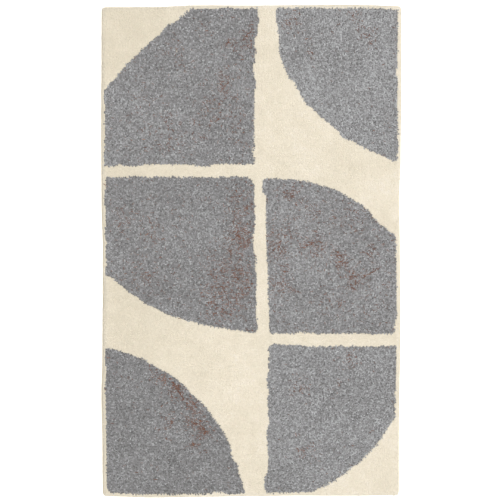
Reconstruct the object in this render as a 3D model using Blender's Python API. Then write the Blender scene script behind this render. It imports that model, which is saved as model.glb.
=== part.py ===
"""Area rug, 60 x 100 cm nominal: cut pile tufted through a cloth backing, with a taped edge.

The rug lies flat with its pile up. X is its width, Y its length from foot to head, Z is up.
The origin is under its middle, on the floor.
"""

import math

import bmesh
import bpy
from mathutils import Vector
from mathutils.geometry import tessellate_polygon

# Driving dimensions, in metres
RUG_WIDTH = 0.608
RUG_LENGTH = 1.000
GREY_TOP = 0.0180  # height of the grey pile above the floor
CREAM_TOP = 0.0170  # the cream pile is sheared a little lower
GAP = 0.0003  # clearance between pieces that touch

# The layers under the pile
UNDER_CLOTH = 0.0009
LATEX = 0.0009
TUFTED_CLOTH = 0.0008

# The edge tape, folded round the backing, and its sewing thread
TAPE = 0.0009
TAPE_FOLD = 0.0012  # outer radius of the fold
TAPE_LAP_UNDER = 0.018
TAPE_LAP_OVER = 0.0025
THREAD = 0.0006
THREAD_FROM_EDGE = 0.0018

# Pile blocks
CROWN = 0.0008  # chamfer round the top of a pile block
CORNER = 0.006  # radius of a panel's corners
CORNER_STEPS = 3
ARC_STEPS = 16

# Heights of the layers, worked out from the floor up
LATEX_BASE = UNDER_CLOTH + GAP
TUFTED_BASE = LATEX_BASE + LATEX + GAP
PILE_BASE = TUFTED_BASE + TUFTED_CLOTH + GAP
TAPE_TOP = PILE_BASE + TAPE
PILE_INSET = TAPE_LAP_OVER + GAP

# Material name: colour, roughness. No piece is metal.
MATERIALS = {
    "under_cloth": ((0.62, 0.56, 0.45), 0.90),
    "latex": ((0.72, 0.68, 0.58), 0.75),
    "tufted_cloth": ((0.30, 0.11, 0.08), 0.90),
    "cream_pile": ((0.80, 0.72, 0.58), 0.95),
    "grey_pile": ((0.27, 0.27, 0.27), 0.95),
    "edge_tape": ((0.72, 0.67, 0.54), 0.90),
    "thread": ((0.78, 0.74, 0.64), 0.70),
}


def clear_scene():
    """Empties the scene of its objects."""
    for item in list(bpy.data.objects):
        bpy.data.objects.remove(item, do_unlink=True)


def finish(item, material_name):
    """Links the object, gives it a material of its own and returns it."""
    colour, roughness = MATERIALS[material_name]
    material = bpy.data.materials.new(item.name)
    material.use_nodes = True
    shader = material.node_tree.nodes["Principled BSDF"]
    shader.inputs["Base Color"].default_value = (*colour, 1.0)
    shader.inputs["Roughness"].default_value = roughness
    shader.inputs["Metallic"].default_value = 0.0
    item.data.materials.append(material)
    bpy.context.scene.collection.objects.link(item)
    return item


def mesh_object(name, bm, material_name):
    """Turns a bmesh into an object with its faces pointing out."""
    bmesh.ops.recalc_face_normals(bm, faces=bm.faces)
    mesh = bpy.data.meshes.new(name)
    bm.to_mesh(mesh)
    bm.free()
    return finish(bpy.data.objects.new(name, mesh), material_name)


# Outlines: lists of points on the rug's plane, anticlockwise seen from above


def rectangle(width, length):
    """The corners of a rectangle about the origin."""
    x = width / 2
    y = length / 2
    return [Vector((-x, -y)), Vector((x, -y)), Vector((x, y)), Vector((-x, y))]


def circle_centre(a, b, c):
    """The centre of the circle through three points."""
    d = 2 * (a.x * (b.y - c.y) + b.x * (c.y - a.y) + c.x * (a.y - b.y))
    squares = [p.length_squared for p in (a, b, c)]
    x = squares[0] * (b.y - c.y) + squares[1] * (c.y - a.y) + squares[2] * (a.y - b.y)
    y = squares[0] * (c.x - b.x) + squares[1] * (a.x - c.x) + squares[2] * (b.x - a.x)
    return Vector((x / d, y / d))


def swept(centre, spoke, turn, steps):
    """Points where a spoke from the centre ends as it turns anticlockwise, both ends included."""
    first = math.atan2(spoke.y, spoke.x)
    angles = [first + turn * i / steps for i in range(steps + 1)]
    return [centre + spoke.length * Vector((math.cos(a), math.sin(a))) for a in angles]


def arc(start, middle, end):
    """Points on the arc from start through middle to end."""
    start, middle, end = Vector(start), Vector(middle), Vector(end)
    centre = circle_centre(start, middle, end)
    first = start - centre
    last = end - centre
    turn = math.atan2(last.y, last.x) - math.atan2(first.y, first.x)
    return swept(centre, first, turn % math.tau, ARC_STEPS)


def rounded(before, corner, after):
    """A panel's corner, as points on a small arc between the sides that meet there."""
    corner = Vector(corner)
    towards_before = (Vector(before) - corner).normalized()
    towards_after = (Vector(after) - corner).normalized()
    half_angle = towards_before.angle(towards_after) / 2
    inwards = (towards_before + towards_after).normalized()
    centre = corner + inwards * CORNER / math.sin(half_angle)
    first = corner + towards_before * CORNER / math.tan(half_angle) - centre
    return swept(centre, first, math.pi - 2 * half_angle, CORNER_STEPS)


def panel(*parts):
    """An outline from its parts: ("corner", point), ("point", point) or ("arc", start, middle, end)."""
    ends = [(part[1], part[-1]) for part in parts]
    outline = []
    for i, (kind, *points) in enumerate(parts):
        if kind == "corner":
            outline += rounded(ends[i - 1][1], points[0], ends[(i + 1) % len(parts)][0])
        elif kind == "arc":
            outline += arc(*points)
        else:
            outline.append(Vector(points[0]))
    return outline


def grown(outline, distance):
    """The outline moved outwards by a distance, each corner along its mitre."""
    result = []
    for i, point in enumerate(outline):
        along_in = (point - outline[i - 1]).normalized()
        along_out = (outline[(i + 1) % len(outline)] - point).normalized()
        out_in = Vector((along_in.y, -along_in.x))
        out_out = Vector((along_out.y, -along_out.x))
        mitre = (out_in + out_out).normalized()
        result.append(point + mitre * distance / mitre.dot(out_in))
    return result


# The grey panels: each is a rectangle with one corner cut away along a wide arc.
# The sides lean a few millimetres, as hand-guided tufting leaves them.


def head_left():
    return panel(
        ("corner", (-0.298, 0.176)),
        ("corner", (0.006, 0.177)),
        ("point", (0.008, 0.410)),
        ("point", (0.016, 0.462)),
        ("corner", (0.013, 0.493)),
        ("point", (-0.070, 0.4955)),
        ("arc", (-0.118, 0.491), (-0.216, 0.417), (-0.2975, 0.325)),
    )


def head_right():
    return panel(
        ("arc", (0.054, 0.425), (0.158, 0.257), (0.288, 0.186)),
        ("corner", (0.298, 0.183)),
        ("point", (0.2975, 0.300)),
        ("point", (0.2965, 0.385)),
        ("corner", (0.298, 0.494)),
        ("corner", (0.056, 0.494)),
    )


def middle_left():
    return panel(
        ("corner", (-0.298, -0.047)),
        ("arc", (-0.283, -0.055), (-0.202, -0.114), (-0.092, -0.151)),
        ("corner", (0.013, -0.168)),
        ("point", (0.008, -0.020)),
        ("corner", (0.007, 0.151)),
        ("corner", (-0.298, 0.151)),
    )


def middle_right():
    return panel(
        ("corner", (0.038, -0.168)),
        ("corner", (0.294, -0.169)),
        ("point", (0.296, -0.080)),
        ("corner", (0.294, 0.034)),
        ("arc", (0.280, 0.042), (0.212, 0.102), (0.098, 0.144)),
        ("corner", (0.028, 0.149)),
        ("point", (0.031, 0.000)),
    )


def foot_left():
    return panel(
        ("corner", (-0.298, -0.4945)),
        ("corner", (-0.013, -0.4945)),
        ("point", (-0.019, -0.465)),
        ("arc", (-0.024, -0.450), (-0.125, -0.284), (-0.285, -0.199)),
        ("corner", (-0.298, -0.198)),
        ("point", (-0.2955, -0.360)),
    )


def foot_right():
    return panel(
        ("corner", (0.029, -0.494)),
        ("arc", (0.112, -0.4935), (0.219, -0.431), (0.293, -0.340)),
        ("corner", (0.297, -0.190)),
        ("corner", (0.035, -0.190)),
        ("point", (0.035, -0.400)),
    )


PANELS = {
    "grey_pile_head_left": head_left,
    "grey_pile_head_right": head_right,
    "grey_pile_middle_left": middle_left,
    "grey_pile_middle_right": middle_right,
    "grey_pile_foot_left": foot_left,
    "grey_pile_foot_right": foot_right,
}


# Pieces


def cloth_layer(name, base, thickness, inset, material_name):
    """A flat layer of the backing, its edge inset from the rug's edge."""
    bm = bmesh.new()
    corners = rectangle(RUG_WIDTH - 2 * inset, RUG_LENGTH - 2 * inset)
    face = bm.faces.new([bm.verts.new((p.x, p.y, base)) for p in corners])
    raised = bmesh.ops.extrude_face_region(bm, geom=[face])["geom"]
    tops = [v for v in raised if isinstance(v, bmesh.types.BMVert)]
    bmesh.ops.translate(bm, verts=tops, vec=(0, 0, thickness))
    return mesh_object(name, bm, material_name)


def pile_block(name, outer, holes, top, material_name):
    """A block of pile standing on the tufted cloth, its upper edges chamfered."""
    bm = bmesh.new()
    base_rings = []
    top_rings = []
    for outline in [outer] + [list(reversed(hole)) for hole in holes]:
        levels = (
            (outline, PILE_BASE),
            (outline, top - CROWN),
            (grown(outline, -CROWN), top),
        )
        rings = [[bm.verts.new((p.x, p.y, z)) for p in points] for points, z in levels]
        for low, high in zip(rings, rings[1:]):
            for i in range(len(outline)):
                bm.faces.new((low[i - 1], low[i], high[i], high[i - 1]))
        base_rings.append(rings[0])
        top_rings.append(rings[-1])
    for rings in (base_rings, top_rings):
        corners = [v for ring in rings for v in ring]
        for triangle in tessellate_polygon([[v.co for v in ring] for ring in rings]):
            bm.faces.new([corners[i] for i in triangle])
    return mesh_object(name, bm, material_name)


def grey_piles():
    """The six grey panels."""
    for name, outline in PANELS.items():
        pile_block(name, outline(), [], GREY_TOP, "grey_pile")


def cream_pile():
    """The cream field, which fills the rug round the six panels."""
    field = rectangle(RUG_WIDTH - 2 * PILE_INSET, RUG_LENGTH - 2 * PILE_INSET)
    pockets = [grown(outline(), GAP) for outline in PANELS.values()]
    pile_block("cream_pile", field, pockets, CREAM_TOP, "cream_pile")


def tape_profile():
    """The tape's section, as distance in from the rug's edge and height: a U on its side."""
    quarter = [math.pi / 2 * i / CORNER_STEPS for i in range(CORNER_STEPS + 1)]
    lower = [(1 - math.sin(a), 1 - math.cos(a)) for a in quarter]
    lower_fold = [(TAPE_FOLD * d, TAPE_FOLD * z) for d, z in lower]
    upper_fold = [(d, TAPE_TOP - z) for d, z in reversed(lower_fold)]
    upper_lap = [
        (TAPE_LAP_OVER, TAPE_TOP),
        (TAPE_LAP_OVER, TAPE_TOP - TAPE),
        (TAPE, TAPE_TOP - TAPE),
    ]
    lower_lap = [(TAPE, TAPE), (TAPE_LAP_UNDER, TAPE), (TAPE_LAP_UNDER, 0.0)]
    return lower_fold + upper_fold + upper_lap + lower_lap


def edge_binding(name, half_length, half_across, turn):
    """One length of tape along the rug's +X side, mitred at both ends, then turned about Z."""
    mitre_gap = GAP / 2 * math.sqrt(2)
    profile = tape_profile()
    bm = bmesh.new()
    rings = []
    for way in (-1, 1):
        ring = []
        for inwards, height in profile:
            along = way * (half_length - inwards - mitre_gap)
            ring.append(bm.verts.new((half_across - inwards, along, height)))
        rings.append(ring)
        bm.faces.new(ring)
    for i in range(len(profile)):
        j = (i + 1) % len(profile)
        bm.faces.new((rings[0][i], rings[0][j], rings[1][j], rings[1][i]))
    item = mesh_object(name, bm, "edge_tape")
    item.rotation_euler.z = turn
    return item


def binding_thread(name, half_length, half_across, turn):
    """The sewing thread along one length of tape, short of the mitres."""
    bm = bmesh.new()
    length = 2 * (half_length - 2 * THREAD_FROM_EDGE)
    bmesh.ops.create_cone(
        bm, cap_ends=True, segments=8, radius1=THREAD / 2, radius2=THREAD / 2, depth=length
    )
    item = mesh_object(name, bm, "thread")
    item.data.shade_smooth()
    item.data.set_sharp_from_angle(angle=math.radians(50))
    item.rotation_euler = (math.pi / 2, 0, turn)
    offset = half_across - THREAD_FROM_EDGE
    height = TAPE_TOP + GAP + THREAD / 2
    item.location = (offset * math.cos(turn), offset * math.sin(turn), height)
    return item


def edges():
    """Tape and thread along the four sides."""
    half_width = RUG_WIDTH / 2
    half_length = RUG_LENGTH / 2
    sides = {
        "right": (half_length, half_width, 0.0),
        "head": (half_width, half_length, math.pi / 2),
        "left": (half_length, half_width, math.pi),
        "foot": (half_width, half_length, -math.pi / 2),
    }
    for side, place in sides.items():
        edge_binding("edge_binding_" + side, *place)
        binding_thread("binding_thread_" + side, *place)


def backing():
    """The three layers that carry the pile."""
    inside_lap = TAPE_LAP_UNDER + GAP
    inside_fold = TAPE + GAP
    cloth_layer("secondary_backing", 0.0, UNDER_CLOTH, inside_lap, "under_cloth")
    cloth_layer("latex_bond", LATEX_BASE, LATEX, inside_fold, "latex")
    cloth_layer("primary_backing", TUFTED_BASE, TUFTED_CLOTH, inside_fold, "tufted_cloth")


clear_scene()
backing()
cream_pile()
grey_piles()
edges()
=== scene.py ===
import math

import bpy
import numpy as np
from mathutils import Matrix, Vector


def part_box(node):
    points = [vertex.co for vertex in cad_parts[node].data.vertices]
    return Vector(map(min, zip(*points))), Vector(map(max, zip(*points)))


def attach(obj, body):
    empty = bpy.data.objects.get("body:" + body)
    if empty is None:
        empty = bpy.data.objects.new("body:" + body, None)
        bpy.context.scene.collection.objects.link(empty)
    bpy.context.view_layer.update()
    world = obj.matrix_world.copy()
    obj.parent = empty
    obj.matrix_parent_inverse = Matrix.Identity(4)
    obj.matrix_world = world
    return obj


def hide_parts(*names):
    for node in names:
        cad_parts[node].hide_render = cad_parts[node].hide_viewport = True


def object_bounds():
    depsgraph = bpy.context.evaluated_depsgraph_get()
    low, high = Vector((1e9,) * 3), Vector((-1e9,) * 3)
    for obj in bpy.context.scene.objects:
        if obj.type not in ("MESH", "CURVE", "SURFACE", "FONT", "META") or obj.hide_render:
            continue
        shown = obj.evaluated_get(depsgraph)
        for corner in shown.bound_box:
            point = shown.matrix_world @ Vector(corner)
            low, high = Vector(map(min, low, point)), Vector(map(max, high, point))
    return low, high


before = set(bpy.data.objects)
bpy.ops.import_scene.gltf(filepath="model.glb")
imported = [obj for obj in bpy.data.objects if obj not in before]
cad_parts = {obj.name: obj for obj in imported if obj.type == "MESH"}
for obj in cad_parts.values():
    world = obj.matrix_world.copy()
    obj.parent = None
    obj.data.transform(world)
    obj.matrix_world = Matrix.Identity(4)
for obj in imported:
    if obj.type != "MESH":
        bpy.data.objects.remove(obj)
cadLow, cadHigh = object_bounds()
mm = 0.001

fieldLow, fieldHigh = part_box("cream_pile")
tapeLow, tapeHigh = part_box("edge_binding_right")
threadLow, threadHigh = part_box("binding_thread_right")
rugHalf = Vector((cadHigh.x, cadHigh.y))
panelNames = sorted(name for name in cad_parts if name.startswith("grey_pile_"))
print("frame loaded:", len(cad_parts), "parts,", len(panelNames), "grey panels")


# Colours and nodes

def linear(hexCode):
    # an sRGB hex colour as the linear numbers that Blender works in
    shares = [int(hexCode[i:i + 2], 16) / 255 for i in (1, 3, 5)]
    return [s / 12.92 if s <= 0.04045 else ((s + 0.055) / 1.055) ** 2.4 for s in shares] + [1.0]


def add(tree, kind, inputs={}, **settings):
    # adds one node: a socket given as an input is linked, anything else is its value
    node = tree.nodes.new("ShaderNode" + kind)
    for name, value in settings.items():
        if name == "ramp":
            for position, hexCode in value[1:-1]:
                node.color_ramp.elements.new(position)
            for element, (position, hexCode) in zip(node.color_ramp.elements, value):
                element.position = position
                element.color = linear(hexCode)
        else:
            setattr(node, name, value)
    for name, value in inputs.items():
        if isinstance(value, bpy.types.NodeSocket):
            tree.links.new(value, node.inputs[name])
        else:
            node.inputs[name].default_value = value
    return node


def blankMaterial(name):
    material = bpy.data.materials.new(name)
    material.use_nodes = True
    material.node_tree.nodes.clear()
    return material, material.node_tree


# Soft randomness

def softNoise(points, size, seed):
    # smooth values from -1 to 1 over the rug, which change over about the given size
    spread = np.random.default_rng(seed).uniform(-1, 1, (256, 256))
    cell = (points + 2 * max(rugHalf)) / size
    low = np.floor(cell).astype(int)
    part = cell - low
    part = part * part * (3 - 2 * part)
    (x, y), (u, v) = (low % 255).T, part.T
    bottom = spread[x, y] * (1 - u) + spread[x + 1, y] * u
    top = spread[x, y + 1] * (1 - u) + spread[x + 1, y + 1] * u
    return bottom * (1 - v) + top * v


# The rug's true outline: hand-guided work is never quite square

outline = {
    # how far each edge strays outwards in mm, at even steps from left to right or foot to head
    "left": (-1.2, -0.3, 1.6, -0.2, -1.2, -1.2, 1.4, 2.2, 2.1, 1.4, 1.2),
    "right": (-2.4, -2.4, -1.3, 0.5, 0.8, -0.2, -2.0, 1.2, 2.7, 2.7, 2.7),
    "head": (-2.2, -2.0, 1.6, 1.0, 1.8, 2.5, 0.0),
    "foot": (0.6, 3.4, 2.0, 0.4, -0.7, -0.5, -1.8),
    "cornerRadius": 7 * mm,
    "middle": 0.45,  # the share of each half that stays as drawn
}


def evenly(values, share):
    # reads a list of values at a share of its length, easing from each to the next
    at = np.clip(share, 0, 1) * (len(values) - 1)
    low = np.minimum(at.astype(int), len(values) - 2)
    part = at - low
    part = part * part * (3 - 2 * part)
    values = np.array(values) * mm
    return values[low] * (1 - part) + values[low + 1] * part


def asLaid(points):
    # moves points of the squared-up rug to where they lie on the real one
    points = np.array(points, float)
    x, y = points[..., 0], points[..., 1]
    shareX, shareY = x / rugHalf.x, y / rugHalf.y
    stray = {
        "left": evenly(outline["left"], (shareY + 1) / 2),
        "right": evenly(outline["right"], (shareY + 1) / 2),
        "head": evenly(outline["head"], (shareX + 1) / 2),
        "foot": evenly(outline["foot"], (shareX + 1) / 2),
    }
    still = outline["middle"]
    pullX = np.clip((abs(shareX) - still) / (1 - still), 0, 1) ** 2
    pullY = np.clip((abs(shareY) - still) / (1 - still), 0, 1) ** 2
    moved = points.copy()
    moved[..., 0] += np.where(x > 0, stray["right"], -stray["left"]) * pullX
    moved[..., 1] += np.where(y > 0, stray["head"], -stray["foot"]) * pullY
    # corners are eased round by drawing in what lies near them
    radius = outline["cornerRadius"]
    away = np.hypot(rugHalf.x - abs(x), rugHalf.y - abs(y))
    drawIn = 0.32 * radius * np.clip(1 - away / (1.5 * radius), 0, 1) ** 2
    moved[..., 0] -= np.sign(x) * drawIn
    moved[..., 1] -= np.sign(y) * drawIn
    return moved


# Meshes from rows of yarn

def makePiece(name, points, faces, uvs, material, replaced):
    # one mesh piece that rides on the rug's body
    mesh = bpy.data.meshes.new(name)
    mesh.from_pydata(points.reshape(-1, 3).tolist(), [], faces)
    mesh.shade_smooth()
    layer = mesh.uv_layers.new(name="OFBake")
    layer.uv.foreach_set("vector", np.asarray(uvs, np.float32).ravel())
    mesh.materials.append(material)
    piece = bpy.data.objects.new(name, mesh)
    bpy.context.scene.collection.objects.link(piece)
    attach(piece, "root")
    if replaced:
        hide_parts(*replaced)
    return piece


def yarnPiece(name, paths, radii, tones, sides, material, replaced=()):
    # closed tubes of yarn along many short paths: paths is (yarns, rings, 3), radii (yarns, rings)
    # On the map, a yarn's tone is across and its length is up.
    yarns, rings = radii.shape
    along = np.gradient(paths, axis=1)
    along /= np.linalg.norm(along, axis=2, keepdims=True)
    lean = paths[:, -1, :2] - paths[:, 0, :2]
    lean /= np.linalg.norm(lean, axis=1, keepdims=True) + 1e-9
    across = np.zeros_like(paths)
    across[..., 0] = -lean[:, None, 1]
    across[..., 1] = lean[:, None, 0]
    over = np.cross(along, across)
    over /= np.linalg.norm(over, axis=2, keepdims=True) + 1e-9
    across = np.cross(over, along)
    angles = np.arange(sides) / sides * 2 * math.pi
    wheel = np.cos(angles)[:, None] * across[:, :, None] + np.sin(angles)[:, None] * over[:, :, None]
    tube = paths[:, :, None] + wheel * radii[:, :, None, None]
    root = paths[:, :1] - along[:, :1] * radii[:, :1, None] * 0.3
    tip = paths[:, -1:] + along[:, -1:] * radii[:, -1:, None] * 0.6
    points = np.concatenate([root, tube.reshape(yarns, -1, 3), tip], axis=1)

    # faces of one yarn, and where their corners lie on the map
    ringAt = np.linspace(0.04, 0.96, rings)
    faces, turns, heights = [], [], []
    for k in range(sides):
        after = (k + 1) % sides
        faces.append([0, 1 + after, 1 + k])
        turns.append([k + 0.5, k + 1, k])
        heights.append([0.0, ringAt[0], ringAt[0]])
        for j in range(rings - 1):
            low, high = 1 + j * sides, 1 + (j + 1) * sides
            faces.append([low + k, low + after, high + after, high + k])
            turns.append([k, k + 1, k + 1, k])
            heights.append([ringAt[j], ringAt[j], ringAt[j + 1], ringAt[j + 1]])
        last = 1 + (rings - 1) * sides
        faces.append([last + k, last + after, 1 + rings * sides])
        turns.append([k, k + 1, k + 0.5])
        heights.append([ringAt[-1], ringAt[-1], 1.0])
    perYarn = rings * sides + 2
    allFaces = [[c + perYarn * i for c in face] for i in range(yarns) for face in faces]
    turns = np.array([t for face in turns for t in face]) / sides
    heights = np.array([h for face in heights for h in face])
    u = tones[:, None] * (1 - yarnWidth) + turns[None] * yarnWidth
    uvs = np.stack([u, np.broadcast_to(heights, u.shape)], axis=2)
    return makePiece(name, points, allFaces, uvs, material, replaced)


yarnWidth = 1 / 32  # the share of the map's width that one yarn's girth takes


def blockPiece(name, x, y, filled, floorZ, topZ, material, replaced=(), tones=None):
    # a closed block over the filled cells of a grid, laid out with the rug
    # On the map it is seen from above, or given a yarn's place by its tone.
    flat = asLaid(np.stack(np.meshgrid(x, y, indexing="ij"), axis=2))
    count = len(x) * len(y)
    number = np.arange(count).reshape(len(x), len(y))
    points = np.concatenate([
        np.dstack([flat, np.broadcast_to(floorZ, number.shape)]).reshape(-1, 3),
        np.dstack([flat, np.broadcast_to(topZ, number.shape)]).reshape(-1, 3),
    ])
    around = np.pad(filled, 1)
    steps = ((0, -1), (1, 0), (0, 1), (-1, 0))
    faces, maps = [], []
    for i, j in np.argwhere(filled):
        corners = [(i, j), (i + 1, j), (i + 1, j + 1), (i, j + 1)]
        numbers = [int(number[c]) for c in corners]
        if tones is None:
            spots = [(a / (len(x) - 1), b / (len(y) - 1)) for a, b in corners]
        else:
            u = tones[i, j] * (1 - yarnWidth)
            spots = [(u, 0.72), (u + yarnWidth, 0.72), (u + yarnWidth, 0.80), (u, 0.80)]
        faces.append([n + count for n in numbers])
        maps += spots
        faces.append(numbers[::-1])
        maps += spots[::-1]
        for side, (di, dj) in enumerate(steps):
            if not around[i + 1 + di, j + 1 + dj]:
                after = (side + 1) % 4
                a, b = numbers[side], numbers[after]
                faces.append([a, b, b + count, a + count])
                maps += [spots[side], spots[after], spots[after], spots[side]]
    used, again = np.unique(np.concatenate([np.array(f) for f in faces]), return_inverse=True)
    starts = np.cumsum([0] + [len(f) for f in faces])
    faces = [again[a:b].tolist() for a, b in zip(starts[:-1], starts[1:])]
    return makePiece(name, points[used], faces, maps, material, replaced)


# Cut pile

tuft = {
    "pitch": 3.3 * mm,  # tuft to tuft, both ways
    "jitter": 0.55 * mm,
    "driftSize": 48 * mm,  # over which the way the pile lies turns
    "nap": (0.9 * mm, 0.0),  # the whole pile lies a little to the right
    "longestLean": 9.0 * mm,
    "edgeLean": 2.0 * mm,  # tufts at the rug's edge lean inwards
    "sides": 5,
    "rings": (0.0, 0.40, 0.66, 0.84, 0.95),  # along the yarn
    "splay": 1.3 * mm,  # tufts at a panel's border push out over the cream
    "drawBack": 1.2 * mm,  # and the cream ones lean away from it
    "parted": 1.8 * mm,  # tufts beside a parting lean away from it
    "mostInPiece": 3900,
    "wander": 1.6 * mm,  # how far a panel's border wanders
    "rim": 5.0 * mm,  # cream pile round the whole rug, in from its field's edge
    "outermost": 3.0 * mm,  # and no grey tuft ever stands further out than this
    "bevel": (7 * mm, 5 * mm),  # how far in the edge is sheared round, and how far down
    "calm": (0.6, 8 * mm),  # tufts nearer a border than this stand straighter
    "clouds": 70 * mm,  # the size of slow changes of shade
    "patches": 17 * mm,  # and of quicker ones
    "seed": 20,
}
greyTuft = {
    "radius": (0.95 * mm, 1.3 * mm),
    "girth": (0.8, 1.3, 1.35, 1.2, 0.95),
    "sweep": 2.2 * mm,  # how far the pile lies over, in slow drifts
    "loose": 1.4 * mm,  # and at random
    "curl": 0.8 * mm,
    "shear": 0.5 * mm,  # the most that a tuft falls short of the sheared height
    "tones": (0.05, 0.04, 0.22),  # how far the shade strays: in clouds, in patches and yarn by yarn
}
creamTuft = {
    "radius": (1.95 * mm, 2.2 * mm),
    "girth": (0.8, 1.4, 1.5, 1.3, 0.95),
    "sweep": 2.0 * mm,
    "loose": 1.2 * mm,
    "curl": 0.6 * mm,
    "shear": 0.15 * mm,
    "tones": (0.12, 0.12, 0.10),
    "base": 0.45,  # the middle shade
    "paintedShadeLeft": (0.32, 50 * mm, 230 * mm),  # painted shade: how much darker at the left, from where and over how far
}


def outlineOf(nodeName):
    # a pile block's outline: its lowest points, in order round their middle
    points = np.array([v.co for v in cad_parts[nodeName].data.vertices])
    ring = np.unique(points[points[:, 2] < points[:, 2].min() + 0.1 * mm][:, :2].round(5), axis=0)
    spokes = ring - ring.mean(axis=0)
    return ring[np.argsort(np.arctan2(spokes[:, 1], spokes[:, 0]))]


def insideBy(points, ring):
    # how far each point is inside an outline, negative outside it, and the way out
    side = np.roll(ring, -1, axis=0) - ring
    away = points[:, None] - ring
    share = np.clip((away * side).sum(2) / (side * side).sum(1), 0, 1)
    offset = away - share[..., None] * side
    distance = np.linalg.norm(offset, axis=2)
    nearest = distance.argmin(1)
    rows = np.arange(len(points))
    end = ring + side
    level = points[:, 1:2]
    spans = (ring[:, 1] > level) != (end[:, 1] > level)
    climb = np.where(side[:, 1] == 0, 1, side[:, 1])
    crossing = ring[:, 0] + (level - ring[:, 1]) / climb * side[:, 0]
    inside = (spans & (points[:, :1] < crossing)).sum(1) % 2 == 1
    gap = distance[rows, nearest]
    outwards = -offset[rows, nearest] / (gap[:, None] + 1e-9)
    return np.where(inside, gap, -gap), np.where(inside[:, None], outwards, -outwards)


def tuftRoots():
    # staggered rows of stitches over the whole field
    pitch, margin = tuft["pitch"], greyTuft["radius"][0]
    rng = np.random.default_rng(tuft["seed"])
    columns = round((fieldHigh.x - fieldLow.x - 2 * margin) / pitch)
    rows = round((fieldHigh.y - fieldLow.y - 2 * margin) / pitch)
    x = np.linspace(fieldLow.x + margin, fieldHigh.x - margin, columns)
    y = np.linspace(fieldLow.y + margin, fieldHigh.y - margin, rows)
    x, y = np.meshgrid(x, y, indexing="ij")
    y[::2] += pitch / 4
    y[1::2] -= pitch / 4
    roots = np.stack([x.ravel(), y.ravel()], axis=1)
    roots += np.clip(rng.normal(0, tuft["jitter"], roots.shape), -2 * tuft["jitter"], 2 * tuft["jitter"])
    reach = np.array([fieldHigh.x, fieldHigh.y]) - margin
    return np.clip(roots, -reach, reach)


def edgeShare(points):
    # 1 at the field's edge, and 0 from where the bevel begins
    deep = np.minimum(fieldHigh.x - abs(points[:, 0]), fieldHigh.y - abs(points[:, 1]))
    return np.clip(1 - deep / tuft["bevel"][0], 0, 1)


def wayIn(points):
    # the way in from the nearest edge
    nearSide = fieldHigh.x - abs(points[:, 0]) < fieldHigh.y - abs(points[:, 1])
    across = np.where(nearSide, -np.sign(points[:, 0]), 0)
    up = np.where(nearSide, 0, -np.sign(points[:, 1]))
    return np.stack([across, up], axis=1)


def tuftPaths(yarn, roots, splayed, calm, top, rng):
    # where each yarn runs, from its root to its tip
    sweep = [softNoise(roots, tuft["driftSize"], tuft["seed"] + k) for k in (2, 3)]
    tips = roots + np.stack(sweep, axis=1) * yarn["sweep"] + tuft["nap"] + splayed
    tips += rng.normal(0, yarn["loose"], roots.shape) * calm[:, None]
    tips += wayIn(roots) * edgeShare(roots)[:, None] * tuft["edgeLean"]
    lean = tips - roots
    length = np.linalg.norm(lean, axis=1, keepdims=True) + 1e-9
    lean *= np.minimum(1, tuft["longestLean"] / length)
    radius = rng.uniform(*yarn["radius"], len(roots))
    height = top - fieldLow.z - radius - rng.uniform(0, yarn["shear"], len(roots))
    height -= tuft["bevel"][1] * edgeShare(roots) ** 1.5
    t = np.array(tuft["rings"])
    bend = t ** 1.8
    sideways = np.stack([-lean[:, 1], lean[:, 0]], axis=1) / length
    curl = rng.uniform(-1, 1, len(roots)) * yarn["curl"] * calm
    paths = np.empty((len(roots), len(t), 3))
    paths[..., :2] = asLaid(roots)[:, None] + lean[:, None] * bend[:, None]
    paths[..., :2] += (sideways * curl[:, None])[:, None] * np.sin(math.pi * t)[:, None]
    paths[..., 2] = fieldLow.z + height[:, None] * (1 - (1 - t) ** 1.6)
    return paths, radius[:, None] * np.array(yarn["girth"])


def pileTone(yarn, roots, rng, base):
    # how light each yarn is, from 0 to 1: slow clouds, smaller patches and yarn by yarn
    clouds, patches, single = yarn["tones"]
    tone = base + clouds * softNoise(roots, tuft["clouds"], 31)
    tone += patches * softNoise(roots, tuft["patches"], 32)
    return np.clip(tone + rng.normal(0, single, len(roots)), 0.02, 0.98)


def creamToneAndPaintedShade(points):
    # the cream's middle shade, with painted shade making it a little darker towards the rug's left side
    share, start, reach = creamTuft["paintedShadeLeft"]
    return creamTuft["base"] - share * np.clip((-points[:, 0] - start) / reach, 0, 1)


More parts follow.
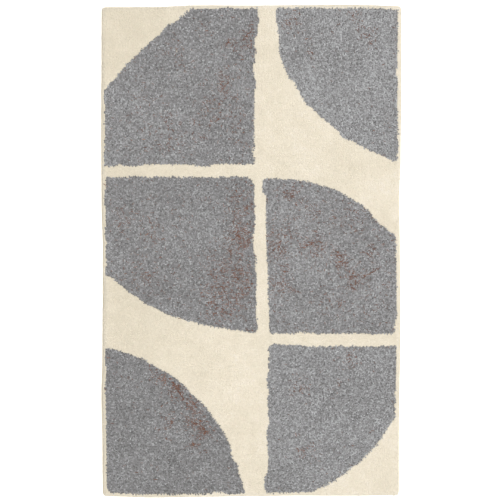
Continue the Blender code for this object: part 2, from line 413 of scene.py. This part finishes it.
def cottonPile(name, shades):
    # Cotton cut pile: soft plied yarn, tufted, cut and sheared. Matt, with a faint fuzz at
    # grazing angles. Painted shade and dust darken its colour from the tips down to the roots.
    material, tree = blankMaterial(name)
    place = add(tree, "UVMap", uv_map="OFBake")
    axes = add(tree, "SeparateXYZ", {0: place.outputs["UV"]})
    tone = add(tree, "ValToRGB", {0: axes.outputs["X"]}, ramp=shades)
    # painted shade and dust: the colour darkens by up to a tenth from high on the yarn down to its root
    depth = add(tree, "MapRange", {0: axes.outputs["Y"], 1: 0.05, 2: 0.85, 3: 0.90, 4: 1.0})
    # two plies to the yarn, twisted three quarters of a turn over its length
    turn = add(tree, "Math", {0: axes.outputs["X"], 1: 2 * math.pi * 2 / yarnWidth}, operation="MULTIPLY")
    twist = add(tree, "Math", {0: axes.outputs["Y"], 1: math.pi * 3, 2: turn.outputs[0]},
                operation="MULTIPLY_ADD")
    plies = add(tree, "Math", {0: twist.outputs[0]}, operation="SINE")
    # fibres are far too fine to show, so they are drawn as streaks about 1 mm wide
    stretched = add(tree, "Mapping", {0: place.outputs["UV"], "Scale": (12 / yarnWidth, 14, 1)})
    fibres = add(tree, "TexNoise", {"Vector": stretched.outputs[0], "Scale": 1.0, "Detail": 2.0})
    streak = add(tree, "MapRange", {0: fibres.outputs[0], 1: 0.3, 2: 0.7, 3: 0.90, 4: 1.08})
    rootShadeAndStreaks = add(tree, "Math", {0: depth.outputs[0], 1: streak.outputs[0]}, operation="MULTIPLY")
    colour = add(tree, "VectorMath", {0: tone.outputs[0], "Scale": rootShadeAndStreaks.outputs[0]}, operation="SCALE")
    relief = add(tree, "Math", {0: plies.outputs[0], 1: 0.5, 2: fibres.outputs[0]},
                 operation="MULTIPLY_ADD")
    bump = add(tree, "Bump", {"Height": relief.outputs[0], "Strength": 0.2, "Distance": 0.3 * mm})
    shader = add(tree, "BsdfPrincipled", {
        "Base Color": colour.outputs[0],
        "Roughness": 0.95,
        "IOR": 1.53,
        "Specular IOR Level": 0.25,
        "Sheen Weight": 0.25,
        "Sheen Roughness": 0.6,
        "Normal": bump.outputs[0],
    })
    add(tree, "OutputMaterial", {"Surface": shader.outputs[0]})
    return material


greyShades = ((0.0, "#5f5e5d"), (0.5, "#8a8989"), (1.0, "#b6b7b8"))
# the dark end of the cream ramp also gives the painted shade at the rug's left side
creamShades = ((0.0, "#cdc4b1"), (0.5, "#dad1bf"), (1.0, "#e1dacf"))
greyYarn = cottonPile("grey_cotton_pile", greyShades)
creamYarn = cottonPile("cream_cotton_pile", creamShades)

# each grey panel's middle shade, with painted light: the right-hand panels are lighter than the left-hand
# ones, as the lie of the pile and a light from the right show them
panelToneAndPaintedLight = {
    "grey_pile_head_left": 0.50,
    "grey_pile_head_right": 0.62,
    "grey_pile_middle_left": 0.45,
    "grey_pile_middle_right": 0.52,
    "grey_pile_foot_left": 0.42,
    "grey_pile_foot_right": 0.56,
}

# where the border of a panel is nibbled by the cream, in mm: place and radius
nibbles = ((-298.5, -496, 15), (-279, 350, 5), (-178, -498.5, 8))

# where the hand-guided border of a panel strays from its drawn line, in mm: the place, half-width
# and half-height of each stretch, and how far it is drawn in, or out where that is negative
borderStrays = (
    (258, 64, 22, 22, 5), (195, -191, 115, 20, 4), (8, 18, 12, 30, 4), (294, -155, 12, 18, 4),
    (108, -168, 28, 12, 3), (-70, -494, 18, 12, 4), (-37, -417, 12, 14, 4), (298, 364, 12, 12, 4),
    (9, 424, 12, 12, 4), (6, 371, 12, 12, 3), (4, 146, 12, 12, 4), (7, 200, 12, 12, 4),
    (70, 376, 24, 48, -5), (54, 479, 16, 26, -6), (-293, 180, 24, 22, -4), (-299, -213, 14, 22, -4),
    (111, 306, 22, 22, -4), (-239, 175, 26, 12, -4), (27, 129, 12, 18, -6), (28, -470, 12, 20, -5),
    (-299, 108, 14, 20, -3), (-99, 175, 20, 12, -4), (34, -260, 12, 18, -4), (189, 233, 16, 16, -4),
    (-297, -42, 14, 14, -3), (-51, 496, 16, 12, -4), (-298, 35, 14, 16, -3), (285, 186, 14, 12, -4),
    (34, -383, 10, 28, -4), (-297, -1, 12, 18, -3), (-299, 315, 10, 18, -3), (-36, -494, 14, 10, -3),
    (300, 212, 14, 14, -4), (8, 338, 10, 12, -3), (-172, 457, 12, 12, -3),
)

# where the grey pile parts and rust shows, in mm: from one end of the parting to the other
partings = (
    (224, -56, 257, -37), (196, -51, 213, -53), (196, -66, 211, -78), (227, 0, 246, -13),
    (107, 10, 139, 19), (160, -9, 189, -8), (171, -31, 189, -25), (79, -78, 96, -83),
    (54, -28, 72, -32), (72, 117, 83, 112), (-13, 87, 1, 93), (-13, 19, 3, 26),
    (-40, 19, -29, 30), (-86, -47, -73, -53), (-42, -53, -24, -56), (-73, -74, -58, -73),
    (-66, -122, -42, -129), (-221, -56, -207, -49), (-42, 109, -22, 111), (-53, 414, -45, 427),
    (-20, 425, 1, 448), (-62, 321, -47, 344), (-105, 232, -91, 228), (-160, -265, -138, -300),
    (-136, -338, -111, -352), (-107, -348, -91, -367), (-121, -391, -107, -393),
)

# single tufts of cream yarn that strayed into a panel, in mm
strays = ((-152.3, 407.4),)

roots = tuftRoots()
rng = np.random.default_rng(tuft["seed"] + 5)


def panelAt(points):
    # which panel each point belongs to, or -1 in the cream, how near the border is, and the way
    # out over it
    wander = tuft["wander"] * (0.6 * softNoise(points, 16 * mm, 41) + 0.7 * softNoise(points, 6 * mm, 42))
    drawn = np.zeros(len(points))
    for x, y, wide, tall, amount in borderStrays:
        away = (points / mm - (x, y)) / (wide, tall)
        drawn += amount * mm * np.clip(1.5 * (1 - (away ** 2).sum(1)), 0, 1)
    for x, y, radius in nibbles:
        drawn = np.maximum(drawn, radius * mm - np.linalg.norm(points - (x * mm, y * mm), axis=1))
    rim = np.minimum(fieldHigh.x - abs(points[:, 0]), fieldHigh.y - abs(points[:, 1])) - tuft["rim"]
    owner = np.full(len(points), -1)
    border = np.full(len(points), 1.0)
    away = np.zeros_like(points)
    for index, name in enumerate(panelNames):
        depth, outwards = insideBy(points, outlineOf(name))
        depth = np.minimum(depth - wander, rim - 0.4 * wander) - drawn
        depth = np.minimum(depth, rim + tuft["rim"] - tuft["outermost"])
        owner[depth > 0] = index
        gap = abs(depth)
        nearer = gap < border
        border[nearer] = gap[nearer]
        away[nearer] = outwards[nearer]
    return owner, border, away


def besideParting(points):
    # how far each tuft leans away from a parting near it
    lean = np.zeros_like(points)
    for fromX, fromY, toX, toY in partings:
        start = np.array((fromX, fromY)) * mm
        run = np.array((toX, toY)) * mm - start
        share = np.clip((points - start) @ run / (run @ run), 0, 1)
        away = points - start - share[:, None] * run
        gap = np.linalg.norm(away, axis=1, keepdims=True) + 1e-9
        lean += away / gap * np.clip(1 - gap / (5 * mm), 0, 1) * tuft["parted"]
    return lean


def inParts(name, paths, radii, tones, material, replaced):
    # a crowd of yarns as pieces of a fair size
    parts = math.ceil(len(tones) / tuft["mostInPiece"])
    for number, mine in enumerate(np.array_split(np.arange(len(tones)), parts), 1):
        part = f"{name}_{number}"
        yarnPiece(part, paths[mine], radii[mine], tones[mine], tuft["sides"], material, replaced)
    print(name, "has", len(tones), "yarns, and pieces:", parts)


owner, border, away = panelAt(roots)
for place in strays:
    owner[np.linalg.norm(roots - np.array(place) * mm, axis=1).argmin()] = -1
push = np.clip(1 - border / tuft["pitch"], 0, 1)
calm = np.clip(border / tuft["calm"][1], tuft["calm"][0], 1)
splayed = away * (push * np.where(owner < 0, tuft["drawBack"], tuft["splay"]))[:, None]
splayed += besideParting(roots)

for index, name in enumerate(panelNames):
    mine = owner == index
    paths, radii = tuftPaths(greyTuft, roots[mine], splayed[mine], calm[mine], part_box(name)[1].z, rng)
    tones = pileTone(greyTuft, roots[mine], rng, panelToneAndPaintedLight[name])
    inParts(name.replace("pile", "tufts"), paths, radii, tones, greyYarn, [name])

mine = owner < 0
paths, radii = tuftPaths(creamTuft, roots[mine], splayed[mine], calm[mine], fieldHigh.z, rng)
tones = pileTone(creamTuft, roots[mine], rng, creamToneAndPaintedShade(roots[mine]))
inParts("cream_tufts", paths, radii, tones, creamYarn, ["cream_pile"])


# The dense mass of pile under the tips

bed = {
    "cell": 3.0 * mm,
    "greyBelow": 4.6 * mm,  # how far it is under the tips
    "creamBelow": 2.4 * mm,
    "relief": 0.5 * mm,
}


def pileBed():
    columns = round((fieldHigh.x - fieldLow.x) / bed["cell"])
    rows = round((fieldHigh.y - fieldLow.y) / bed["cell"])
    x = np.linspace(fieldLow.x, fieldHigh.x, columns + 1)
    y = np.linspace(fieldLow.y, fieldHigh.y, rows + 1)
    corners = np.stack(np.meshgrid(x, y, indexing="ij"), axis=2)
    middles = (corners[:-1, :-1] + corners[1:, 1:]) / 2
    flat = middles.reshape(-1, 2)
    owner = panelAt(flat)[0].reshape(columns, rows)
    relief = softNoise(corners.reshape(-1, 2), 4 * mm, 51).reshape(columns + 1, rows + 1) * bed["relief"]
    sunk = (tuft["bevel"][1] * edgeShare(corners.reshape(-1, 2)) ** 1.5).reshape(columns + 1, rows + 1)
    spread = np.random.default_rng(tuft["seed"] + 6)
    for index, name in enumerate(panelNames + ["cream_pile"]):
        filled = owner == (index if name != "cream_pile" else -1)
        yarn, colour = (creamTuft, "cream") if name == "cream_pile" else (greyTuft, "grey")
        base = creamToneAndPaintedShade(flat) if name == "cream_pile" else panelToneAndPaintedLight[name]
        tones = pileTone(yarn, flat, spread, base).reshape(columns, rows)
        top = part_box(name)[1].z - bed[colour + "Below"] + relief - sunk
        blockPiece(name.replace("pile", "bed"), x, y, filled, fieldLow.z, top,
                   creamYarn if colour == "cream" else greyYarn, [], tones)


pileBed()
print("pile bed laid")


# Ends of rust yarn that show here and there among the grey

rustEnds = {
    "radius": (0.3 * mm, 0.75 * mm),  # mostly thin single plies
    "length": (3.0 * mm, 7.5 * mm),  # the part that lies on the pile
    "below": (0.1 * mm, 1.4 * mm),  # how far under the top of the pile
    "apart": 2.3 * mm,  # from one to the next along a parting
    "turned": 0.8,  # radians that they stray from lying across the rug
    "seed": 77,
    "scatter": {  # single ends all over a panel, and how much deeper the deepest lie
        "grey_pile_head_left": 260, "grey_pile_head_right": 80, "grey_pile_middle_left": 380,
        "grey_pile_middle_right": 400, "grey_pile_foot_left": 100, "grey_pile_foot_right": 60,
    },
    "deeper": 1.0 * mm,
    # patches in each panel: share across and up, half-width, half-height, how many, how light
    "patches": {
        "grey_pile_head_left": (
            (0.93, 0.80, 0.06, 0.10, 56, 0.3), (0.82, 0.77, 0.04, 0.04, 16, 0.3),
            (0.76, 0.94, 0.02, 0.03, 3, 0.2), (0.65, 0.86, 0.05, 0.05, 12, 0.3),
            (0.45, 0.73, 0.06, 0.08, 20, 0.3), (0.50, 0.60, 0.05, 0.04, 7, 0.3),
            (0.78, 0.50, 0.07, 0.10, 60, 0.3), (0.69, 0.34, 0.08, 0.10, 64, 0.3),
            (0.88, 0.25, 0.08, 0.22, 60, 0.3), (0.42, 0.20, 0.12, 0.18, 80, 0.3),
            (0.23, 0.40, 0.05, 0.15, 20, 0.3)),
        "grey_pile_head_right": (
            (0.12, 0.90, 0.09, 0.06, 40, 0.3), (0.66, 0.93, 0.06, 0.05, 20, 0.3),
            (0.76, 0.83, 0.09, 0.06, 30, 0.3), (0.26, 0.70, 0.03, 0.08, 15, 0.3)),
        "grey_pile_middle_left": (
            (0.90, 0.80, 0.09, 0.16, 125, 0.3), (0.89, 0.61, 0.09, 0.09, 150, 0.3),
            (0.82, 0.40, 0.15, 0.16, 245, 0.3), (0.76, 0.20, 0.12, 0.12, 170, 0.3),
            (0.92, 0.28, 0.07, 0.12, 90, 0.3), (0.12, 0.70, 0.09, 0.10, 35, 0.3),
            (0.24, 0.40, 0.10, 0.12, 45, 0.3), (0.32, 0.66, 0.06, 0.10, 30, 0.3)),
        "grey_pile_middle_right": (
            (0.19, 0.90, 0.08, 0.05, 50, 0.2), (0.10, 0.58, 0.10, 0.12, 125, 0.3),
            (0.12, 0.30, 0.10, 0.08, 75, 0.3), (0.36, 0.56, 0.12, 0.08, 90, 0.3),
            (0.57, 0.47, 0.06, 0.06, 40, 0.3), (0.68, 0.36, 0.09, 0.07, 75, 0.3),
            (0.66, 0.74, 0.14, 0.08, 55, 0.3), (0.35, 0.78, 0.15, 0.08, 40, 0.3),
            (0.55, 0.20, 0.20, 0.10, 35, 0.3), (0.83, 0.54, 0.07, 0.06, 20, 0.3),
            (0.55, 0.453, 0.004, 0.004, 1, 1.0)),
        "grey_pile_foot_left": (
            (0.40, 0.82, 0.07, 0.06, 65, 0.3), (0.52, 0.73, 0.08, 0.08, 135, 0.2),
            (0.62, 0.62, 0.07, 0.07, 55, 0.3), (0.68, 0.50, 0.10, 0.08, 80, 0.3),
            (0.72, 0.43, 0.05, 0.04, 55, 0.2), (0.45, 0.50, 0.07, 0.10, 45, 0.3),
            (0.64, 0.34, 0.03, 0.015, 15, 0.2), (0.25, 0.16, 0.03, 0.01, 3, 0.2),
            (0.640, 0.346, 0.004, 0.004, 1, 1.0)),
        "grey_pile_foot_right": (
            (0.27, 0.71, 0.06, 0.07, 30, 0.3), (0.62, 0.90, 0.08, 0.07, 30, 0.3),
            (0.52, 0.70, 0.04, 0.08, 9, 0.3), (0.30, 0.28, 0.08, 0.06, 25, 0.3)),
    },
}


def partingEnds(rng):
    # ends that follow each parting: where they start, how light they are, their height and heading
    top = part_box(panelNames[0])[1].z
    for fromX, fromY, toX, toY in partings:
        run = np.array((toX - fromX, toY - fromY)) * mm
        count = max(3, round(np.linalg.norm(run) / rustEnds["apart"]))
        places = np.array((fromX, fromY)) * mm + np.linspace(0, 1, count)[:, None] * run
        places += rng.normal(0, 0.6 * mm, (count, 2))
        lights = rng.normal(0.2, 0.15, count)
        yield places, lights, np.full(count, top), math.atan2(run[1], run[0]) + rng.normal(0, 0.3, count)


def panelEnds(name, rng):
    # the same for the ends in one panel, the single ones and those in patches
    low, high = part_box(name)
    single = rustEnds["scatter"][name]
    places = [rng.uniform((low.x, low.y), (high.x, high.y), (single, 2))]
    lights = [rng.normal(0.25, 0.15, single)]
    depths = [rng.uniform(0, rustEnds["deeper"], single)]
    for across, up, wide, tall, count, light in rustEnds["patches"][name]:
        spread = np.clip(rng.normal(0, 0.6, (count, 2)), -1.3, 1.3) * (wide, tall)
        share = np.array([across, up]) + spread
        places.append(np.array([low.x, low.y]) + share * (high.x - low.x, high.y - low.y))
        lights.append(light + rng.normal(0, 0.15, count) if light < 1 else [1.0])
        depths.append(np.zeros(count))
    places, lights, depths = (np.concatenate(part) for part in (places, lights, depths))
    owner, border, away = panelAt(places)
    kept = (owner == panelNames.index(name)) & (border > 3 * mm)
    headings = rng.normal(0, rustEnds["turned"], kept.sum())
    headings += math.pi * rng.integers(0, 2, kept.sum())
    return places[kept], lights[kept], high.z - depths[kept], headings


def rustYarn():
    rng = np.random.default_rng(rustEnds["seed"])
    ends = list(partingEnds(rng)) + [panelEnds(name, rng) for name in rustEnds["patches"]]
    starts, lights, tops, headings = (np.concatenate(part) for part in zip(*ends))
    count = len(starts)
    lie = np.stack([np.cos(headings), np.sin(headings)], 1) * rng.uniform(*rustEnds["length"], (count, 1))
    thin, thick = rustEnds["radius"]
    radius = thin + (thick - thin) * rng.uniform(0, 1, count) ** 2
    height = tops - radius - rng.uniform(*rustEnds["below"], count)
    # each runs up from the backing, then lies along the pile: how far out, up and sideways it is
    rings = ((0, 0, 0), (0.03, 0.97, 0.05), (0.35, 1.0, 0.12), (0.7, 1.0, -0.08), (1.0, 0.96, 0.0))
    paths = np.empty((count, len(rings), 3))
    for k, (out, up, sideways) in enumerate(rings):
        paths[:, k, :2] = asLaid(starts) + lie * out + np.stack([-lie[:, 1], lie[:, 0]], 1) * sideways
        paths[:, k, 2] = fieldLow.z + (height - fieldLow.z) * up
    girth = np.array((0.8, 0.9, 1.0, 1.0, 0.7))
    tones = np.clip(lights, 0.02, 1.0)
    inParts("rust_yarn_ends", paths, radius[:, None] * girth, tones, rustCotton, [])


rustShades = ((0.0, "#63371f"), (0.4, "#7f4f36"), (0.8, "#a1745a"), (1.0, "#c8813f"))
rustCotton = cottonPile("rust_cotton_yarn", rustShades)
rustYarn()


# Edge tape, folded round each side and stitched down

tape = {
    "thick": 0.9 * mm,
    "under": 18 * mm,  # how far it reaches in under the rug
    "over": 2.5 * mm,  # and over the top of the backing
    "top": tapeHigh.z,
    "fold": 1.2 * mm,  # radius of its folds
    "step": 1.6 * mm,  # along it, from one section to the next
    "pucker": 0.35 * mm,  # how far each stitch draws it down
    "ripple": 0.25 * mm,  # and how far it ripples by itself
}
stitch = {
    "pitch": 3.2 * mm,
    "length": 2.7 * mm,
    "radius": (threadHigh.z - threadLow.z) / 2,
    "fromEdge": 1.8 * mm,
    "sides": 5,
}


def tapeSection():
    # the folded tape cut across: how far in from the edge, how high, and how far round on the map
    thick, top, fold = tape["thick"], tape["top"], tape["fold"]
    quarter = np.linspace(0, math.pi / 2, 5)
    outer = [(d, 0.0) for d in np.linspace(tape["under"], fold + 1 * mm, 6)]
    outer += [(fold - fold * math.sin(a), fold - fold * math.cos(a)) for a in quarter]
    outer += [(fold - fold * math.cos(a), top - fold + fold * math.sin(a)) for a in quarter]
    outer += [(1.8 * mm, top), (tape["over"] - 0.2 * mm, top), (tape["over"], top - 0.3 * mm)]
    tight = fold - thick
    inner = [(tape["over"], top - thick), (1.8 * mm, top - thick)]
    inner += [(fold - tight * math.cos(a), top - fold + tight * math.sin(a)) for a in quarter[::-1]]
    inner += [(fold - tight * math.sin(a), fold - tight * math.cos(a)) for a in quarter[::-1]]
    inner += [(d, thick) for d in np.linspace(fold + 1 * mm, tape["under"], 6)]
    loop = np.array(outer + inner)
    length = np.linalg.norm(np.roll(loop, -1, axis=0) - loop, axis=1)
    return loop, np.concatenate([[0], np.cumsum(length)])


# each side: the way in from its edge, the way along it, half its length and how far its edge is out
sides = {
    "left": ((1, 0), (0, 1), rugHalf.y, rugHalf.x),
    "right": ((-1, 0), (0, -1), rugHalf.y, rugHalf.x),
    "head": ((0, -1), (1, 0), rugHalf.x, rugHalf.y),
    "foot": ((0, 1), (-1, 0), rugHalf.x, rugHalf.y),
}


def sidePoints(side, along, deep):
    # places on the squared-up rug, from how far along a side and how far in from it
    inward, onward, half, out = sides[side]
    x = inward[0] * (deep - out) + onward[0] * along
    y = inward[1] * (deep - out) + onward[1] * along
    return np.stack([x, y], axis=-1)


def tapePiece(side, material):
    loop, roundAt = tapeSection()
    half = sides[side][2]
    steps = round(2 * half / tape["step"])
    share = np.linspace(-1, 1, steps + 1)
    # mitred ends: the further in, the shorter the side
    along = share[:, None] * (half - loop[None, :, 0])
    points = np.empty((*along.shape, 3))
    points[..., :2] = asLaid(sidePoints(side, along, np.broadcast_to(loop[:, 0], along.shape)))
    onTop = np.clip((loop[:, 1] - tape["top"] + 2 * mm) / (2 * mm), 0, 1)
    beat = np.cos(along / stitch["pitch"] * 2 * math.pi) * 0.5 + 0.5
    near = np.clip(1 - abs(loop[:, 0] - stitch["fromEdge"]) / (1.5 * mm), 0, 1)
    wave = softNoise(points[..., :2].reshape(-1, 2), 9 * mm, 61).reshape(along.shape)
    drop = tape["pucker"] * beat * near + tape["ripple"] * (0.5 + 0.5 * wave)
    points[..., 2] = loop[:, 1] - drop * onTop
    across = len(loop)
    faces, maps = [], []
    for i in range(steps):
        for j in range(across):
            after = (j + 1) % across
            here, there = i * across, (i + 1) * across
            faces.append([here + j, here + after, there + after, there + j])
            low, high = roundAt[j] / roundAt[-1], roundAt[j + 1] / roundAt[-1]
            start, end = i / steps, (i + 1) / steps
            maps += [(start, low), (start, high), (end, high), (end, low)]
    for end, order in ((0, range(across)[::-1]), (steps, range(across))):
        faces.append([end * across + j for j in order])
        maps += [(end / steps, 0.0)] * across
    replaced = ["edge_binding_" + side]
    piece = makePiece("edge_tape_" + side, points, faces, maps, material, replaced)


def stitchRow(side):
    half = sides[side][2]
    reach = half - 2 * stitch["fromEdge"]
    count = int(2 * reach / stitch["pitch"])
    middles = (np.arange(count) - (count - 1) / 2) * stitch["pitch"] + stitch["pitch"] / 2
    middles = middles[abs(middles) < reach]
    rng = np.random.default_rng(len(side))
    # each dives into the tape at both ends and lies on it between them, a little aslant
    share = np.array((-0.5, -0.38, 0.0, 0.38, 0.5))
    rise = np.array((-0.75, -0.1, 0.12, -0.1, -0.75)) * mm
    slant = (rng.normal(0, 0.12, len(middles))[:, None] + np.array((-0.1, -0.1, 0, 0.1, 0.1))) * mm
    along = middles[:, None] + share * stitch["length"]
    points = np.empty((*along.shape, 3))
    points[..., :2] = asLaid(sidePoints(side, along, stitch["fromEdge"] + slant))
    points[..., 2] = tape["top"] - 0.1 * mm + stitch["radius"] + rise
    radii = np.full(along.shape, stitch["radius"])
    tones = np.clip(rng.normal(0.5, 0.12, len(middles)), 0.02, 0.98)
    replaced = ["binding_thread_" + side]
    yarnPiece("stitches_" + side, points, radii, tones, stitch["sides"], threadCotton, replaced)


def wovenCloth(name, shades, pitch, slope, depth):
    # Woven cotton or canvas: round yarns crossing over and under each other, matt and a
    # little fuzzy. The slope makes the ribs of a twill, none makes a plain weave.
    # The yarns are drawn about twice as coarse as real ones, or they would not show.
    material, tree = blankMaterial(name)
    place = add(tree, "TexCoord")
    axes = add(tree, "SeparateXYZ", {0: place.outputs["Object"]})
    side = add(tree, "Math", {0: axes.outputs["X"], 1: axes.outputs["Z"]}, operation="ADD")
    ribs = add(tree, "Math", {0: axes.outputs["Y"], 1: slope, 2: side.outputs[0]},
               operation="MULTIPLY_ADD")
    rows = add(tree, "Math", {0: side.outputs[0], 1: -slope, 2: axes.outputs["Y"]},
               operation="MULTIPLY_ADD")
    waves = []
    for line in (ribs, rows):
        turned = add(tree, "Math", {0: line.outputs[0], 1: 2 * math.pi / pitch}, operation="MULTIPLY")
        waves.append(add(tree, "Math", {0: turned.outputs[0]}, operation="SINE"))
    weave = add(tree, "Math", {0: waves[0].outputs[0], 1: waves[1].outputs[0]}, operation="MULTIPLY")
    if slope:
        weave = waves[0]
    # shade that changes over about 17 mm, and slubs about 1.4 mm long in the yarn
    cloudy = add(tree, "TexNoise", {
        "Vector": place.outputs["Object"], "Scale": 1 / (16.667 * mm), "Detail": 3.0})
    # painted light and shade: the weave's relief is also put in the colour, lighter where the yarn stands
    # up and darker in the hollows
    cloudsAndPaintedShade = add(tree, "Math", {0: weave.outputs[0], 1: 0.22, 2: cloudy.outputs[0]},
                operation="MULTIPLY_ADD")
    colour = add(tree, "ValToRGB", {0: cloudsAndPaintedShade.outputs[0]}, ramp=shades)
    slubs = add(tree, "TexNoise", {
        "Vector": place.outputs["Object"], "Scale": 1 / (1.4286 * mm), "Detail": 2.0})
    height = add(tree, "Math", {0: slubs.outputs[0], 1: 0.6, 2: weave.outputs[0]},
                 operation="MULTIPLY_ADD")
    bump = add(tree, "Bump", {"Height": height.outputs[0], "Strength": 0.5, "Distance": depth})
    shader = add(tree, "BsdfPrincipled", {
        "Base Color": colour.outputs[0],
        "Roughness": 0.92,
        "IOR": 1.53,
        "Specular IOR Level": 0.25,
        "Sheen Weight": 0.2,
        "Sheen Roughness": 0.5,
        "Normal": bump.outputs[0],
    })
    add(tree, "OutputMaterial", {"Surface": shader.outputs[0]})
    return material


def driedLatex():
    # Latex adhesive, brushed on and dried: yellowish and cloudy over about 11 mm, with a dull
    # waxy gloss.
    material, tree = blankMaterial("dried_latex")
    place = add(tree, "TexCoord")
    cloudy = add(tree, "TexNoise", {
        "Vector": place.outputs["Object"], "Scale": 1 / (11.111 * mm), "Detail": 4.0})
    colour = add(tree, "ValToRGB", {0: cloudy.outputs[0]},
                 ramp=((0.3, "#b9a988"), (0.5, "#cdbf9f"), (0.7, "#ddd2b6")))
    bump = add(tree, "Bump", {"Height": cloudy.outputs[0], "Strength": 0.6, "Distance": 0.3 * mm})
    shader = add(tree, "BsdfPrincipled", {
        "Base Color": colour.outputs[0],
        "Roughness": 0.55,
        "IOR": 1.52,
        "Normal": bump.outputs[0],
    })
    add(tree, "OutputMaterial", {"Surface": shader.outputs[0]})
    return material


tapeShades = ((0.2, "#d6c8ab"), (0.5, "#e2d6bd"), (0.8, "#ece2cc"))
threadShades = ((0.0, "#bfb299"), (0.5, "#d2c7b1"), (1.0, "#e2d9c8"))
tapeTwill = wovenCloth("edge_tape_twill", tapeShades, 1.7 * mm, 0.8, 0.25 * mm)
threadCotton = cottonPile("sewing_thread", threadShades)
for side in sides:
    tapePiece(side, tapeTwill)
    stitchRow(side)
print("edges bound and stitched")


# Backings: rust cloth that the pile is tufted through, latex, and a canvas under all

backing = {
    "cell": 8 * mm,
    "quilt": 0.15 * mm,  # how uneven the cloths lie
}


def backingPiece(node, name, material):
    low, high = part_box(node)
    x = np.linspace(low.x, high.x, round((high.x - low.x) / backing["cell"]) + 1)
    y = np.linspace(low.y, high.y, round((high.y - low.y) / backing["cell"]) + 1)
    corners = np.stack(np.meshgrid(x, y, indexing="ij"), axis=2)
    uneven = softNoise(corners.reshape(-1, 2), 20 * mm, 71).reshape(len(x), len(y)) * backing["quilt"]
    filled = np.ones((len(x) - 1, len(y) - 1), bool)
    return blockPiece(name, x, y, filled, low.z, high.z - backing["quilt"] + uneven, material, [node])


canvasShades = ((0.2, "#b3a78f"), (0.5, "#c8bda6"), (0.8, "#d8cfbb"))
rustClothShades = ((0.2, "#6a3a31"), (0.5, "#82483c"), (0.8, "#9a5b4b"))
canvas = wovenCloth("backing_canvas", canvasShades, 2.2 * mm, 0.0, 0.3 * mm)
rustCloth = wovenCloth("rust_tufting_cloth", rustClothShades, 2.2 * mm, 0.0, 0.3 * mm)
underCloth = backingPiece("secondary_backing", "under_cloth", canvas)
backingPiece("latex_bond", "latex", driedLatex())
tuftedCloth = backingPiece("primary_backing", "tufted_cloth", rustCloth)
print("backings laid")


# Camera, floor and light

studio = {
    "cameraHeight": 3.0,
    "offset": (-0.0023, 0.0020),  # the rug is not quite in the middle of the frame
    "lens": 105.7,
    "skyStrength": 0.15,
    "horizon": (0.12, 0.35),  # where the paleness ends, as the sine of the height
    "overheadPower": 2.64,
    "overheadSpread": 22,  # degrees
    "keyPower": 46,
    "keySize": 1.5,
    "lightsFrom": (0.5, -0.1, 4.0),
}

camera = bpy.data.objects.new("camera", bpy.data.cameras.new("camera"))
bpy.context.scene.collection.objects.link(camera)
camera.data.lens = studio["lens"]
camera.data.sensor_width = 36
camera.location = (*studio["offset"], studio["cameraHeight"])
bpy.context.scene.camera = camera

floorMesh = bpy.data.meshes.new("floor")
floorMesh.from_pydata([(-20, -20, 0), (20, -20, 0), (20, 20, 0), (-20, 20, 0)], [], [(0, 1, 2, 3)])
floor = bpy.data.objects.new("floor", floorMesh)
bpy.context.scene.collection.objects.link(floor)
floor.location.z = -0.0005


def mattPaint():
    # matt white emulsion on a rolled studio floor: no gloss, barely any texture
    material, tree = blankMaterial("studio_floor")
    shader = add(tree, "BsdfPrincipled", {
        "Base Color": linear("#f7f7f7"), "Roughness": 0.9, "Specular IOR Level": 0.1})
    add(tree, "OutputMaterial", {"Surface": shader.outputs[0]})
    return material


floorMesh.materials.append(mattPaint())

# the room: dim overhead, where the lights hang, and pale round the horizon
world = bpy.data.worlds.new("studio")
world.use_nodes = True
world.node_tree.nodes.clear()
lookingTo = add(world.node_tree, "TexCoord")
axes = add(world.node_tree, "SeparateXYZ", {0: lookingTo.outputs["Generated"]})
paleTo, dimFrom = studio["horizon"]
room = add(world.node_tree, "MapRange", {
    0: axes.outputs["Z"], 1: paleTo, 2: dimFrom, 3: 1.0, 4: studio["skyStrength"]})
sky = add(world.node_tree, "Background", {"Color": linear("#ffffff"), "Strength": room.outputs[0]})
add(world.node_tree, "OutputWorld", {"Surface": sky.outputs[0]})
bpy.context.scene.world = world


def addLight(name, kind, power):
    # a lamp that points at the middle of the rug
    light = bpy.data.lights.new(name, kind)
    light.energy = power
    lamp = bpy.data.objects.new(name, light)
    bpy.context.scene.collection.objects.link(lamp)
    lamp.location = studio["lightsFrom"]
    lamp.rotation_euler = (-lamp.location).to_track_quat("-Z", "Y").to_euler()
    return light


# a wide soft light from overhead on the whole floor, and a softbox on the rug
addLight("overhead", "SUN", studio["overheadPower"]).angle = math.radians(studio["overheadSpread"])
addLight("key", "AREA", studio["keyPower"]).size = studio["keySize"]

bpy.context.scene.view_settings.view_transform = "Standard"
print("studio set up")
